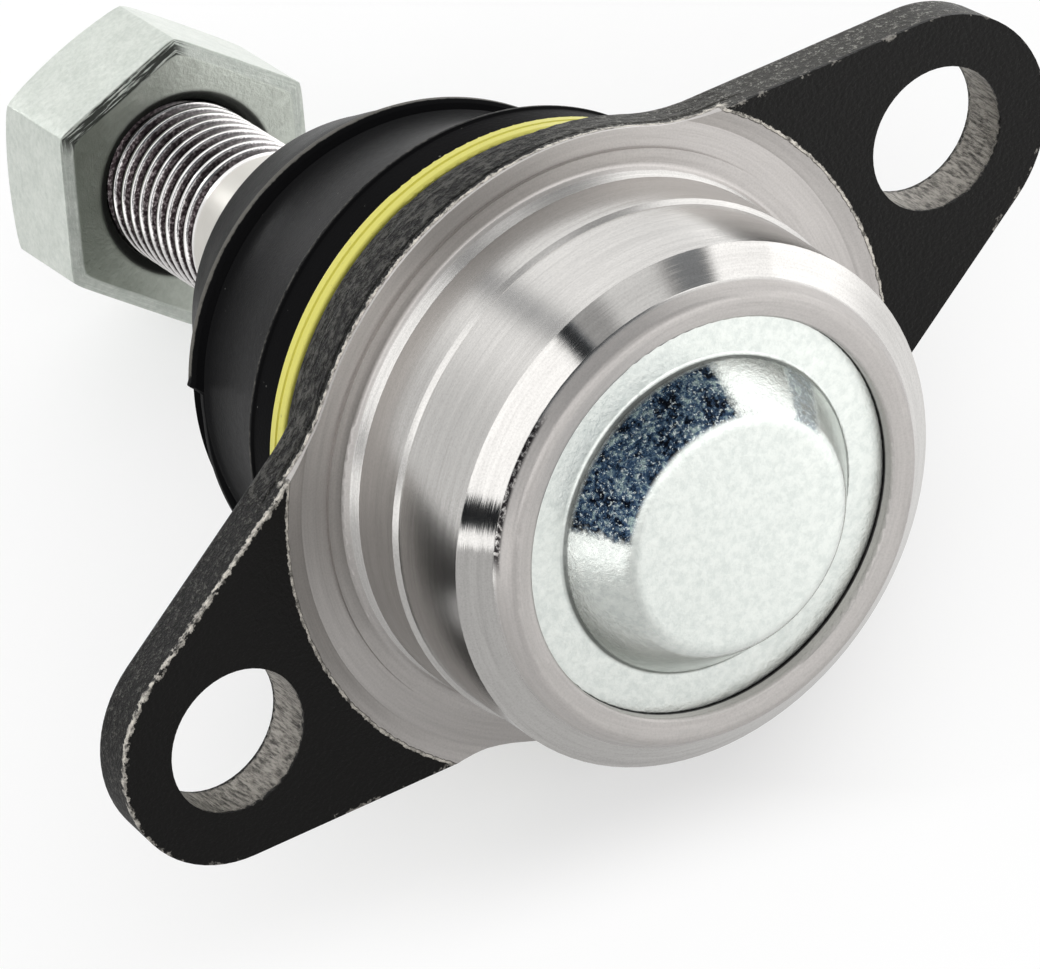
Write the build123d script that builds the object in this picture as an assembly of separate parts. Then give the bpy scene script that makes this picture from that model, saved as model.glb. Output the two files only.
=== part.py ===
from build123d import *
import math
import os

# Suspension ball joint: a forged two-bolt housing, a ball stud in a two-piece plastic bearing,
# a crimped-in cover, a rubber dust boot with its clamp ring, and a self-locking nut.
#
# Millimetres. The origin is the ball's centre. +X runs through the two flange holes, -Y is the
# cover's end of the housing, +Y is the stud's end, and +Z is up across the flange's waist.
# The stud is modelled swung out of line with the housing, as the joint is handled loose.

# ---- Ball stud -------------------------------------------------------------------------------
ball_diameter = 24.0
ball_pole_cut = 1.2          # how much of the ball's front pole is turned flat
neck_diameter = 11.0
neck_end = 25.0              # from the ball's centre to where the neck widens
neck_fillet = 3.0
seat_diameter = 14.4         # cylinder that carries the boot's end ring
seat_start = 30.0            # from the ball's centre
seat_length = 10.2
taper_length = 13.0
taper_per_length = 0.1       # 1:10 on the diameter
thread_diameter = 12.0       # M12 x 1.5
thread_length = 26.5
tip_chamfer = 1.0
centre_hole_diameter = 3.0
swing_down = 9.2             # stud's rest tilt about X, in degrees, nut end down
swing_side = 3.0             # stud's rest tilt about its cross axis, nut end towards +X

# ---- Bearing ---------------------------------------------------------------------------------
ball_clearance = 0.05        # on the radius
bearing_wall = 1.8
bearing_fit = 0.04           # on the radius, in the housing's pocket
bearing_split = 0.6          # gap between the front and the rear half
seat_angle = 57.0            # from the rear axis to the rear half's inner edge, in degrees
groove_count = 6             # grease grooves in each half
groove_width = 1.6
groove_depth = 0.5

# ---- Housing ---------------------------------------------------------------------------------
face_setback = 3.0           # machined flange face behind the ball's centre
flange_thickness = 3.5
hole_spacing = 64.0
hole_diameter = 10.5
lug_radius = 9.0
flank_radius = 19.8          # circle about the axis that the lugs' straight flanks touch
flange_draft = 5.0           # slope of the plate's forged edge, narrower at the back, in degrees
waist_diameter = 44.6
waist_blend = 14.0
machined_diameter = 48.2     # disc turned clean on the flange's front
skin_height = 0.4            # forged skin of the lugs in front of the turned disc
cove_width = 1.3             # sloped rim of the turned disc
edge_round = 0.5             # on the lugs' edges
land_diameter = 38.4         # press-fit land of the spigot
pad_margin = 1.6             # raised pad round the land's foot, on the radius
pad_height = 0.25
land_length = 5.6
spigot_diameter = 37.8
spigot_length = 12.9         # from the flange face to the bevel
root_fillet = 0.6
bevel_length = 1.45
bevel_end_diameter = 33.8
rim_length = 1.4             # from the bevel to the crest of the crimped rim
rim_crest_diameter = 32.2
rim_bore_diameter = 28.8
rim_lip_drop = 0.35
boss_diameter = 41.4         # rear boss where it leaves the flange
boss_end_diameter = 39.8
boss_length = 3.4
boss_fillet = 1.2
groove_length = 2.4          # groove for the boot's bead
groove_diameter = 33.8
rear_lip_length = 1.3
rear_lip_diameter = 35.8
mouth_shelf = 0.9            # thickness of the shelf behind the bearing
mouth_step = 0.2             # shelf's bore over the bearing's inner edge, on the radius
swing_limit = 18.0           # stud's swing each way about each of two crossed axes, in degrees
mouth_clearance = 0.6

# ---- Cover -----------------------------------------------------------------------------------
cover_thickness = 1.4
cover_recess = 1.35          # cover's outer face behind the rim's crest
cover_overlap = 1.15         # how far the cover reaches under the rim
cover_fit = 0.05             # on the radius
dome_base_diameter = 23.0
dome_top_diameter = 17.2
dome_height = 4.1
dome_round = 1.5

# ---- Clamp ring, boot and the boot's end ring --------------------------------------------------
clamp_width = 1.6
clamp_height = 1.3
clamp_notch = 0.25           # groove between the ring's two turns
clamp_clearance = 0.05
bead_clearance = 0.1
bead_thickness = 1.4         # rubber under the clamp ring
step_lean = 0.1              # length over which a step in the boot's wall turns
boot_wall = 1.4
boot_end_wall = 2.2          # rubber at the stud's end
boot_seat_reach = 9.3        # from the stud's seat's start to the boot's stud end
shoulder_length = 2.7        # boot's wide band behind the clamp ring
shoulder_diameter = 38.8
shoulder_round = 0.8         # rolled edge of the shoulder
shoulder_slope = 3.0         # length of the wall that falls from the shoulder to the valley
valley_diameter = 33.7
fold_diameter = 35.6
fold_station = 27.6          # ridge of the outer fold, from the ball's centre
fold_rise = 1.2              # length of the wall that climbs to the fold
fold_round = 0.9
fold_sag = 0.2               # how far the wall behind the fold hangs inwards, on the diameter
fold_drift = 0.85            # how far the fold hangs off the stud's line, towards -X
lip_diameter = 26.0
ring_clearance = 0.06        # end ring on the stud's seat, on the radius
ring_wall = 1.4
ring_length = 3.8
ring_flange_width = 1.8
ring_flange_thickness = 0.8
rubber_clearance = 0.1

# ---- Nut ---------------------------------------------------------------------------------------
nut_across_flats = 19.0
nut_height = 10.4
nut_run = 14.6               # from the taper's end to the nut's near face
nut_rest_turn = -3.0         # the nut's rest turn on its thread, in degrees
nut_bevel_width = 0.95       # bevel round the near face, along the six flats
nut_bevel_height = 0.25
nut_face_share = 0.95        # diameter of the nut's far face over its width across flats
nut_chamfer_angle = 30.0     # of the far corners
thread_clearance = 0.05      # on the radius, between the nut and the thread's crests
countersink_diameter = 13.6
collar_diameter = 15.2
collar_height = 3.0
insert_wall = 0.95
insert_length = 2.3
insert_clearance = 0.05
collar_lip_diameter = 13.2

# ---- Sizes that follow -------------------------------------------------------------------------
ball_radius = ball_diameter / 2
bearing_bore_radius = ball_radius + ball_clearance
bearing_radius = bearing_bore_radius + bearing_wall
pocket_radius = bearing_radius + bearing_fit
bearing_depth = bearing_bore_radius * math.cos(math.radians(seat_angle))
mouth_radius = bearing_bore_radius * math.sin(math.radians(seat_angle)) + mouth_step

face_y = -face_setback
land_y = face_y + land_length
spigot_y = face_y + spigot_length
pad_diameter = land_diameter + 2 * pad_margin
bevel_y = spigot_y + bevel_length
crest_y = bevel_y + rim_length
cover_y = crest_y - cover_recess
cover_seat_y = cover_y - cover_thickness
cover_radius = rim_bore_diameter / 2 + cover_overlap

flange_back_y = face_y - flange_thickness
groove_front_y = flange_back_y - boss_length
groove_back_y = groove_front_y - groove_length
rear_y = groove_back_y - rear_lip_length

seat_end = seat_start + seat_length
taper_end = seat_end + taper_length
stud_end = taper_end + thread_length
boot_length = seat_start + boot_seat_reach
nut_station = taper_end + nut_run
taper_start_diameter = thread_diameter + taper_length * taper_per_length
full_swing = math.degrees(math.acos(math.cos(math.radians(swing_limit)) ** 2))


# ---- Shared shapes -----------------------------------------------------------------------------
def turned(corners):
    """Solid of revolution about Z from (diameter, height, fillet) corners of its half section."""
    points = [(diameter / 2, height) for diameter, height, _ in corners]
    section = make_face(FilletPolyline(*points, radius=[fillet for *_, fillet in corners], close=True))
    return revolve(Plane.XZ * section, Axis.Z)


def drum(diameter, bottom, top):
    """Cylinder about Z between two heights."""
    upward = (Align.CENTER, Align.CENTER, Align.MIN)
    return Pos(0, 0, bottom) * Cylinder(diameter / 2, top - bottom, align=upward)


def housing_place(solid):
    """Turn a solid made about Z, cover end up, into the housing's place."""
    return Rot(90, 0, 0) * solid


def stud_frame(share=1.0):
    """Frame whose Z runs from the ball's centre along the stud, swung by a share of its rest tilt."""
    return Rot(-swing_down * share, 0, 0) * Rot(0, 0, -swing_side * share) * Rot(-90, 0, 0)


def mouth_radius_at(depth):
    """Radius of the mouth that the neck needs at full swing, at a depth behind the ball's centre."""
    swing = math.radians(full_swing)
    return depth * math.tan(swing) + neck_diameter / 2 / math.cos(swing) + mouth_clearance


# ---- Housing -----------------------------------------------------------------------------------
def flange_outline():
    """Rhombic two-hole outline: a round waist with straight flanks running into round lugs."""
    half = hole_spacing / 2
    lean = math.asin((flank_radius - lug_radius) / half)
    lug_touch = (half + lug_radius * math.sin(lean), lug_radius * math.cos(lean))
    flank_touch = (flank_radius * math.sin(lean), flank_radius * math.cos(lean))
    corners = [lug_touch, flank_touch, (-flank_touch[0], flank_touch[1]), (-lug_touch[0], lug_touch[1])]
    corners += [(x, -y) for x, y in reversed(corners)]
    blade = make_face(Polyline(*corners, close=True))
    lugs = Sketch() + [Pos(side * half, 0) * Circle(lug_radius) for side in (-1, 1)]
    outline = blade + lugs + Circle(waist_diameter / 2)
    inward = [
        v for v in outline.vertices()
        if abs(math.hypot(v.X, v.Y) - waist_diameter / 2) < 0.01
    ]
    return fillet(inward, waist_blend)


def flange():
    """Flange plate with its forged skin, turned disc and two bolt holes."""
    front = Pos(0, 0, face_y + skin_height) * flange_outline()
    plate = extrude(front, flange_thickness + skin_height, dir=(0, 0, -1), taper=flange_draft)
    plate = fillet(plate.faces().sort_by(Axis.Z)[0].edges(), edge_round)
    plate -= turned([
        (0, face_y, 0),
        (machined_diameter - 2 * cove_width, face_y, 0),
        (machined_diameter, face_y + skin_height, 0),
        (machined_diameter, face_y + 2 * skin_height, 0),
        (0, face_y + 2 * skin_height, 0),
    ])
    holes = [
        Pos(side * hole_spacing / 2, 0, 0) * drum(hole_diameter, flange_back_y - 1, face_y + 1)
        for side in (-1, 1)
    ]
    return plate - holes


def housing_body():
    """Turned and forged body of revolution, without its hollow."""
    return turned([
        (0, rear_y, 0),
        (rear_lip_diameter, rear_y, 0.4),
        (rear_lip_diameter, groove_back_y, 0.2),
        (groove_diameter, groove_back_y, 0),
        (groove_diameter, groove_front_y, 0),
        (boss_end_diameter, groove_front_y, 0.4),
        (boss_diameter, flange_back_y + boss_fillet, 0),
        (boss_diameter, face_y - flange_thickness / 2, 0),
        (pad_diameter, face_y - flange_thickness / 2, 0),
        (pad_diameter, face_y + pad_height, 0),
        (land_diameter, face_y + pad_height, root_fillet),
        (land_diameter, land_y, 0),
        (spigot_diameter, land_y + (land_diameter - spigot_diameter) / 2, 0),
        (spigot_diameter, spigot_y, 0),
        (bevel_end_diameter, bevel_y, 0),
        (rim_crest_diameter, crest_y, 0.7),
        (rim_bore_diameter, crest_y - rim_lip_drop, 0.3),
        (rim_bore_diameter, cover_y, 0),
        (0, cover_y, 0),
    ])


def housing_hollow():
    """Pocket for the bearing and the cover, and the mouth that the stud swings in."""
    bore = drum(2 * pocket_radius, 0, cover_seat_y)
    cover_slot = drum(2 * (cover_radius + cover_fit), cover_seat_y, cover_y)
    bowl = Sphere(pocket_radius) & drum(2 * pocket_radius, -bearing_depth, 0.01)
    shelf_back = bearing_depth + mouth_shelf
    mouth = turned([
        (0, 0, 0),
        (2 * mouth_radius, 0, 0),
        (2 * mouth_radius, -shelf_back, 0),
        (2 * max(mouth_radius_at(-rear_y), mouth_radius), rear_y, 0),
        (0, rear_y, 0),
    ])
    return bore + cover_slot + bowl + mouth


def housing():
    """One-piece forged housing: flange, spigot, crimped rim and rear boss."""
    return housing_place(housing_body() + flange() - housing_hollow())


# ---- Cover and bearing ---------------------------------------------------------------------------
def cover_plate():
    """Pressed sheet cover with a raised dome, held under the crimped rim."""
    lean = math.atan2(dome_height, (dome_base_diameter - dome_top_diameter) / 2)
    inset = 2 * cover_thickness * math.tan(lean / 2)
    inner_round = max(dome_round - cover_thickness, 0.2)
    top_y = cover_y + dome_height
    return housing_place(turned([
        (0, top_y, 0),
        (dome_top_diameter, top_y, dome_round),
        (dome_base_diameter, cover_y, 0.3),
        (2 * cover_radius, cover_y, 0),
        (2 * cover_radius, cover_seat_y, 0),
        (dome_base_diameter - inset, cover_seat_y, 0),
        (dome_top_diameter - inset, top_y - cover_thickness, inner_round),
        (0, top_y - cover_thickness, 0),
    ]))


def grease_grooves(bottom, top):
    """Channels round the bearing's bore, between two heights."""
    reach = 2 * (bearing_bore_radius + groove_depth)
    cutter = Box(reach, groove_width, top - bottom)
    slots = [Rot(0, 0, 180 * k / groove_count) * cutter for k in range(groove_count)]
    return (Part() + [Pos(0, 0, (top + bottom) / 2) * slot for slot in slots]) & Sphere(reach / 2)


def bearing_front():
    """Front half of the bearing, between the ball and the cover."""
    shell = drum(2 * bearing_radius, bearing_split / 2, cover_seat_y)
    return housing_place(shell - Sphere(bearing_bore_radius) - grease_grooves(bearing_split, cover_seat_y))


def bearing_rear():
    """Rear half of the bearing, which carries the ball against the mouth."""
    shell = Sphere(bearing_radius) & drum(2 * bearing_radius, -bearing_depth, -bearing_split / 2)
    grooves = grease_grooves(1 - bearing_depth, -bearing_split)
    return housing_place(shell - Sphere(bearing_bore_radius) - grooves)


# ---- Stud ----------------------------------------------------------------------------------------
def ball_stud():
    """Ball, neck, boot seat, 1:10 taper and threaded end, in one forging."""
    ball = Sphere(ball_radius) & drum(2 * ball_diameter, ball_pole_cut - ball_radius, ball_radius)
    shank = turned([
        (0, 0, 0),
        (neck_diameter, 0, 0),
        (neck_diameter, neck_end, neck_fillet),
        (seat_diameter, seat_start, 0.5),
        (seat_diameter, seat_end, 0.3),
        (taper_start_diameter, seat_end, 0),
        (thread_diameter, taper_end, 0),
        (thread_diameter, stud_end - tip_chamfer, 0),
        (thread_diameter - 2 * tip_chamfer, stud_end, 0),
        (0, stud_end, 0),
    ])
    centre = Cone(0, centre_hole_diameter / 2, centre_hole_diameter)
    centre_hole = Pos(0, 0, stud_end - centre_hole_diameter / 2) * centre
    return stud_frame() * (ball + shank - centre_hole)


# ---- Boot ----------------------------------------------------------------------------------------
clamp_front = -groove_front_y + (groove_length - clamp_width) / 2
bead_radius = groove_diameter / 2 + bead_clearance + bead_thickness
shoulder_front = clamp_front + clamp_width + clamp_clearance
shoulder_end = shoulder_front + shoulder_length
end_wall_start = boot_length - boot_end_wall


def ease(station, start, end):
    """Smooth rise from 0 at a start station to 1 at an end station."""
    share = min(max((station - start) / (end - start), 0.0), 1.0)
    return share * share * (3 - 2 * share)


def boot_circle(station, diameter):
    """Round section of the boot, square to its middle line, which reaches the stud's tilt at the fold."""
    lean = ease(station, -rear_y, fold_station)
    drift = fold_drift * (lean - ease(station, fold_station, end_wall_start))
    return stud_frame(lean) * Pos(-drift, 0, station) * Circle(diameter / 2)


def boot_loft(rings):
    """Straight-walled body through round sections given as (station, diameter)."""
    return loft([boot_circle(station, diameter) for station, diameter in rings], ruled=True)


def dust_boot():
    """Rubber bellows from the housing's groove to the stud's seat."""
    middle = (shoulder_end + fold_station) / 2
    slope_end = shoulder_end + shoulder_slope
    slope_end_diameter = (shoulder_diameter + 2 * valley_diameter) / 3
    rise_start = fold_station - fold_rise
    rise_diameter = (fold_diameter + 2 * valley_diameter) / 3
    walls = 2 * boot_wall
    outer = [
        (-groove_front_y + bead_clearance, 2 * bead_radius),
        (shoulder_front, 2 * bead_radius),
        (shoulder_front + step_lean, shoulder_diameter),
        (shoulder_end, shoulder_diameter),
        (shoulder_end + shoulder_round, shoulder_diameter - 2 * shoulder_round),
        (slope_end, slope_end_diameter),
        (middle, valley_diameter),
        (rise_start, rise_diameter),
        (fold_station, fold_diameter),
        (fold_station + fold_round, fold_diameter - fold_round),
        ((fold_station + boot_length) / 2, (fold_diameter + lip_diameter) / 2 - fold_sag),
        (boot_length, lip_diameter),
    ]
    lip_room = rear_lip_diameter + 2 * bead_clearance
    bead_bore = groove_diameter + 2 * bead_clearance
    bead_back = -groove_back_y - bead_clearance
    inner = [
        (-groove_front_y, bead_bore),
        (bead_back, bead_bore),
        (bead_back + step_lean, lip_room),
        (-rear_y + bead_clearance, lip_room),
        (slope_end, slope_end_diameter - walls),
        (middle, valley_diameter - walls),
        (rise_start, rise_diameter - walls),
        (fold_station, fold_diameter - fold_round - walls),
        (end_wall_start, lip_diameter - walls),
    ]
    end_bore = seat_diameter + 2 * (ring_clearance + ring_wall + rubber_clearance)
    opening = stud_frame() * drum(end_bore, end_wall_start - 1, boot_length + 1)
    return boot_loft(outer) - boot_loft(inner) - opening


def clamp_ring():
    """Two-turn spring ring round the boot's bead."""
    inside = 2 * (bead_radius + clamp_clearance)
    outside = inside + 2 * clamp_height
    back = -clamp_front - clamp_width
    middle = -clamp_front - clamp_width / 2
    return housing_place(turned([
        (inside, back, 0),
        (outside, back, 0.2),
        (outside, middle - clamp_notch / 2, 0),
        (outside - 2 * clamp_notch, middle, 0),
        (outside, middle + clamp_notch / 2, 0),
        (outside, -clamp_front, 0.2),
        (inside, -clamp_front, 0),
    ]))


def boot_end_ring():
    """Stiffening ring that keeps the boot's end on the stud's seat."""
    bore = seat_diameter + 2 * ring_clearance
    sleeve = bore + 2 * ring_wall
    flange_back = end_wall_start - rubber_clearance
    flange_front = flange_back - ring_flange_thickness
    return stud_frame() * turned([
        (bore, flange_front, 0),
        (sleeve + 2 * ring_flange_width, flange_front, 0),
        (sleeve + 2 * ring_flange_width, flange_back, 0),
        (sleeve, flange_back, 0),
        (sleeve, flange_front + ring_length, 0.3),
        (bore, flange_front + ring_length, 0),
    ])


# ---- Nut -----------------------------------------------------------------------------------------
nut_bore_diameter = thread_diameter + 2 * thread_clearance
insert_diameter = nut_bore_diameter + 2 * insert_wall
insert_station = nut_station + nut_height + insert_clearance


def hex_nut():
    """Hexagon nut with chamfered corners and a collar for its locking insert."""
    corner_diameter = nut_across_flats / math.cos(math.radians(30))
    near_share = 1 - 2 * nut_bevel_width / nut_across_flats
    face_diameter = nut_face_share * nut_across_flats
    chamfer_depth = (corner_diameter - face_diameter) / 2 * math.tan(math.radians(nut_chamfer_angle))
    hexagon = RegularPolygon(corner_diameter / 2, 6)
    shoulder = Pos(0, 0, nut_bevel_height) * hexagon
    bevel = loft([RegularPolygon(near_share * corner_diameter / 2, 6), shoulder], ruled=True)
    blank = bevel + extrude(shoulder, nut_height - nut_bevel_height)
    barrel = turned([
        (0, 0, 0),
        (corner_diameter, 0, 0),
        (corner_diameter, nut_height - chamfer_depth, 0),
        (face_diameter, nut_height, 0),
        (0, nut_height, 0),
    ])
    collar = turned([
        (0, nut_height, 0),
        (collar_diameter, nut_height, 0),
        (collar_diameter, nut_height + collar_height, 0.8),
        (0, nut_height + collar_height, 0),
    ])
    pocket_top = nut_height + insert_length + 2 * insert_clearance
    pocket = drum(insert_diameter + 2 * insert_clearance, nut_height, pocket_top)
    lip = drum(collar_lip_diameter, nut_height, nut_height + collar_height + 1)
    sink_depth = (countersink_diameter - nut_bore_diameter) / 2
    countersink = turned([
        (0, 0, 0),
        (countersink_diameter, 0, 0),
        (nut_bore_diameter, sink_depth, 0),
        (0, sink_depth, 0),
    ])
    bore = drum(nut_bore_diameter, 0, nut_height + collar_height)
    nut = (blank & barrel) + collar - pocket - lip - countersink - bore
    return stud_frame() * Pos(0, 0, nut_station) * Rot(0, 0, nut_rest_turn) * nut


def nut_insert():
    """Polyamide locking ring in the nut's collar."""
    ring = drum(insert_diameter, 0, insert_length) - drum(nut_bore_diameter, 0, insert_length)
    return stud_frame() * Pos(0, 0, insert_station) * ring


# ---- Write one STEP file per piece -----------------------------------------------------------------
pieces = {
    "housing": housing(),
    "cover_plate": cover_plate(),
    "bearing_front": bearing_front(),
    "bearing_rear": bearing_rear(),
    "ball_stud": ball_stud(),
    "dust_boot": dust_boot(),
    "clamp_ring": clamp_ring(),
    "boot_end_ring": boot_end_ring(),
    "hex_nut": hex_nut(),
    "nut_insert": nut_insert(),
}

os.makedirs("parts", exist_ok=True)
for name, piece in pieces.items():
    export_step(piece, f"parts/{name}.step")
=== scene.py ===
import logging
import math
from dataclasses import dataclass
from enum import Enum
from typing import Callable, Sequence, Union

import bmesh
import bpy
import numpy as np
from mathutils import Matrix, Vector


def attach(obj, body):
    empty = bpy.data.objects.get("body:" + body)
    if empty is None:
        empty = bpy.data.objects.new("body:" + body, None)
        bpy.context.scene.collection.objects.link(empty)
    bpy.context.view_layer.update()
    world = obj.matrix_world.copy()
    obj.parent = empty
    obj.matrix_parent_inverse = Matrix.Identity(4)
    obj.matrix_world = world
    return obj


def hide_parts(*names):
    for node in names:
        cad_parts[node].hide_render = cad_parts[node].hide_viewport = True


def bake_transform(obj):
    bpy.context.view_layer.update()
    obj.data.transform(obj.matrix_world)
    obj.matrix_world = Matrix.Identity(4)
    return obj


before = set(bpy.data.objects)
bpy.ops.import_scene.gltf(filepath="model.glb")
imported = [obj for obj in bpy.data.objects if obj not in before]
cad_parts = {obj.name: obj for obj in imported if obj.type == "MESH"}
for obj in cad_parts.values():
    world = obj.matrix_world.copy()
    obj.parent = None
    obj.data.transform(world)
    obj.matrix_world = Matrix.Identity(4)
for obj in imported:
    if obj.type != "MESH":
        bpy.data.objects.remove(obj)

MM = 0.001
MERGE = 0.0005 * MM
PALE_SIDE = (0.88, 0.47)  # direction across the stud toward which the nut's near face has least painted shade and the thread's roots least stain and painted shade
log = logging.getLogger("ball_joint")
Colour = tuple[float, float, float]


class Ray(Enum):
    """Kinds of light ray that a material can tell apart."""

    CAMERA = "Is Camera Ray"
    GLOSSY = "Is Glossy Ray"
    DIFFUSE = "Is Diffuse Ray"


def shade(red: int, green: int, blue: int) -> Colour:
    """Colour in linear light from its 0 to 255 display values."""
    return tuple((c / 255) ** 2.2 for c in (red, green, blue))


def darker(colour: Colour, share: float) -> Colour:
    """A share of a colour's light."""
    return tuple(c * share for c in colour)


def towards(azimuth: float, elevation: float) -> Vector:
    """Direction at an azimuth from the front and an elevation, in degrees."""
    turn, climb = math.radians(azimuth), math.radians(elevation)
    return Vector((math.sin(turn) * math.cos(climb), -math.cos(turn) * math.cos(climb), math.sin(climb)))


def put(name: str, data: bpy.types.ID) -> bpy.types.Object:
    """Make an object of some data and link it to the scene."""
    made = bpy.data.objects.new(name, data)
    bpy.context.scene.collection.objects.link(made)
    return made


# ---- Shader sheets ----
def _maths(operation: str, reflected: bool = False) -> Callable[..., "Flow"]:
    """Arithmetic method of Flow that adds one Math node.

    Args:
        operation: The Math node's operation.
        reflected: Whether the flow is the right-hand value.

    Returns:
        The method.
    """

    def method(self: "Flow", other: "Value" = 0.0) -> "Flow":
        """Work out the operation on this flow and the other value."""
        pair = (other, self) if reflected else (self, other)
        return self.sheet.maths(operation, *pair)

    return method


class Flow:
    """A node's output that takes part in arithmetic and adds the nodes that work it out.

    On masks, | is the union, the larger of the two, and & is the overlap, the smaller of the two.
    """

    def __init__(self, sheet: "Sheet", socket: bpy.types.NodeSocket) -> None:
        """Keep the sheet that the socket lies on."""
        self.sheet = sheet
        self.socket = socket

    __add__, __radd__ = _maths("ADD"), _maths("ADD", reflected=True)
    __sub__, __rsub__ = _maths("SUBTRACT"), _maths("SUBTRACT", reflected=True)
    __mul__, __rmul__ = _maths("MULTIPLY"), _maths("MULTIPLY", reflected=True)
    __truediv__, __rtruediv__ = _maths("DIVIDE"), _maths("DIVIDE", reflected=True)
    __or__, __and__ = _maths("MAXIMUM"), _maths("MINIMUM")
    __abs__ = _maths("ABSOLUTE")


Value = Union[float, Flow]


class Sheet:
    """The node tree of one material or of the world, with short ways to add to it."""

    def __init__(self, owner: Union[bpy.types.Material, bpy.types.World]) -> None:
        """Empty the owner's node tree.

        Args:
            owner: The material or world whose nodes are laid out.
        """
        owner.use_nodes = True
        self.tree = owner.node_tree
        self.tree.nodes.clear()

    def node(
        self,
        kind: str,
        inputs: dict[Union[str, int], object],
        output: Union[str, int] = 0,
        **settings: object,
    ) -> Flow:
        """Add one node.

        Args:
            kind: Blender's type name of the node, without its ShaderNode prefix.
            inputs: Values or flows for the sockets, by name or index.
            output: Name or index of the output that is handed back.
            settings: Properties set before the sockets. "stops" holds a ramp's (place, colour) pairs.

        Returns:
            The chosen output as a flow.
        """
        made = self.tree.nodes.new(f"ShaderNode{kind}")
        for key, value in settings.items():
            if key == "stops":
                self._set_stops(made.color_ramp, value)
            else:
                setattr(made, key, value)
        for key, value in inputs.items():
            if isinstance(value, Flow):
                self.tree.links.new(value.socket, made.inputs[key])
            else:
                made.inputs[key].default_value = value
        return Flow(self, made.outputs[output]) if made.outputs else None

    @staticmethod
    def _set_stops(ramp: bpy.types.ColorRamp, stops: Sequence[tuple[float, Colour]]) -> None:
        """Give a ramp exactly these stops."""
        while len(ramp.elements) > 1:
            ramp.elements.remove(ramp.elements[-1])
        ramp.elements[0].position = stops[0][0]
        ramp.elements[0].color = (*stops[0][1], 1)
        for place, colour in stops[1:]:
            ramp.elements.new(place).color = (*colour, 1)

    def maths(self, operation: str, first: Value, second: Value = 0.0) -> Flow:
        """Math node on one or two values."""
        return self.node("Math", {0: first, 1: second}, operation=operation)

    def step(self, value: Flow, low: float, high: float) -> Flow:
        """Mask that climbs smoothly from 0 at low to 1 at high, or falls where low is above high."""
        if low > high:
            return 1 - self.step(value, high, low)
        span = {"Value": value, "From Min": low, "From Max": high}
        return self.node("MapRange", span, interpolation_type="SMOOTHSTEP")

    def above(self, value: Flow, limit: float, soft: float) -> Flow:
        """Mask that is 1 above a limit and 0 below it, and climbs over soft on either side."""
        return self.step(value, limit - soft, limit + soft)

    def below(self, value: Flow, limit: float, soft: float) -> Flow:
        """Mask that is 1 below a limit and 0 above it, and falls over soft on either side."""
        return self.step(value, limit + soft, limit - soft)

    def band(self, value: Flow, centre: float, half: float, soft: float) -> Flow:
        """Mask that is 1 within half of a centre value and fades out over soft."""
        return self.step(abs(value - centre), half + soft, half)

    def mix(self, factor: Value, first: object, second: object) -> Flow:
        """Colour between two colours."""
        pair = [c if isinstance(c, Flow) else (*c, 1) for c in (first, second)]
        return self.node("Mix", {0: factor, 6: pair[0], 7: pair[1]}, 2, data_type="RGBA")

    def lerp(self, factor: Flow, first: Value, second: Value) -> Flow:
        """Number between two numbers."""
        return self.node("Mix", {0: factor, 2: first, 3: second}, 0, data_type="FLOAT")

    def lerp_vector(self, factor: Flow, first: Flow, second: Flow) -> Flow:
        """Vector between two vectors."""
        return self.node("Mix", {0: factor, 4: first, 5: second}, 1, data_type="VECTOR")

    def ray(self, kind: Ray) -> Flow:
        """1 for rays of one kind, 0 for all others."""
        return self.node("LightPath", {}, kind.value)

    def place(self) -> Flow:
        """Place on the piece, in millimetres in the piece's own frame."""
        metres = self.node("TexCoord", {}, "Object")
        return self.node("VectorMath", {0: metres, "Scale": 1 / MM}, operation="SCALE")

    def split(self, vector: Flow) -> tuple[Flow, Flow, Flow]:
        """The three parts of a vector."""
        made = self.tree.nodes.new("ShaderNodeSeparateXYZ")
        self.tree.links.new(vector.socket, made.inputs[0])
        return tuple(Flow(self, made.outputs[i]) for i in range(3))

    def join(self, x: Value, y: Value, z: Value) -> Flow:
        """Vector from three numbers."""
        return self.node("CombineXYZ", {0: x, 1: y, 2: z})

    def stretch(self, vector: Flow, scale: Sequence[float]) -> Flow:
        """Vector multiplied part by part."""
        return self.node("VectorMath", {0: vector, 1: scale}, operation="MULTIPLY")

    def noise(self, vector: Flow, scale: float, detail: float = 3.0, roughness: float = 0.5) -> Flow:
        """Noise texture, about 0 to 1."""
        inputs = {"Vector": vector, "Scale": scale, "Detail": detail, "Roughness": roughness}
        return self.node("TexNoise", inputs, "Fac")

    def cells(self, vector: Flow, scale: float) -> Flow:
        """Distance to the nearest of scattered points."""
        return self.node("TexVoronoi", {"Vector": vector, "Scale": scale}, "Distance")

    def polar(self, across: Flow, up: Flow) -> tuple[Flow, Flow]:
        """Radius and angle of a point in a plane."""
        radius = self.maths("SQRT", across * across + up * up)
        return radius, self.maths("ARCTAN2", up, across)

    def bump(self, height: Flow, depth: float, normal: Flow = None) -> Flow:
        """Normal that follows a height.

        Args:
            height: Height, about 0 to 1.
            depth: What a height of 1 stands for, in millimetres.
            normal: The normal that it starts from.

        Returns:
            The bent normal.
        """
        inputs = {"Height": height, "Distance": depth * MM, "Strength": 1.0}
        if normal is not None:
            inputs["Normal"] = normal
        return self.node("Bump", inputs)

    def unit(self, vector: Flow) -> Flow:
        """Vector of length 1 in the same direction."""
        return self.node("VectorMath", {0: vector}, operation="NORMALIZE")

    def surface(self, inputs: dict[str, object]) -> None:
        """Finish the sheet with the one shader of a solid material."""
        shader = self.node("BsdfPrincipled", inputs)
        self.node("OutputMaterial", {"Surface": shader})


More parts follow.
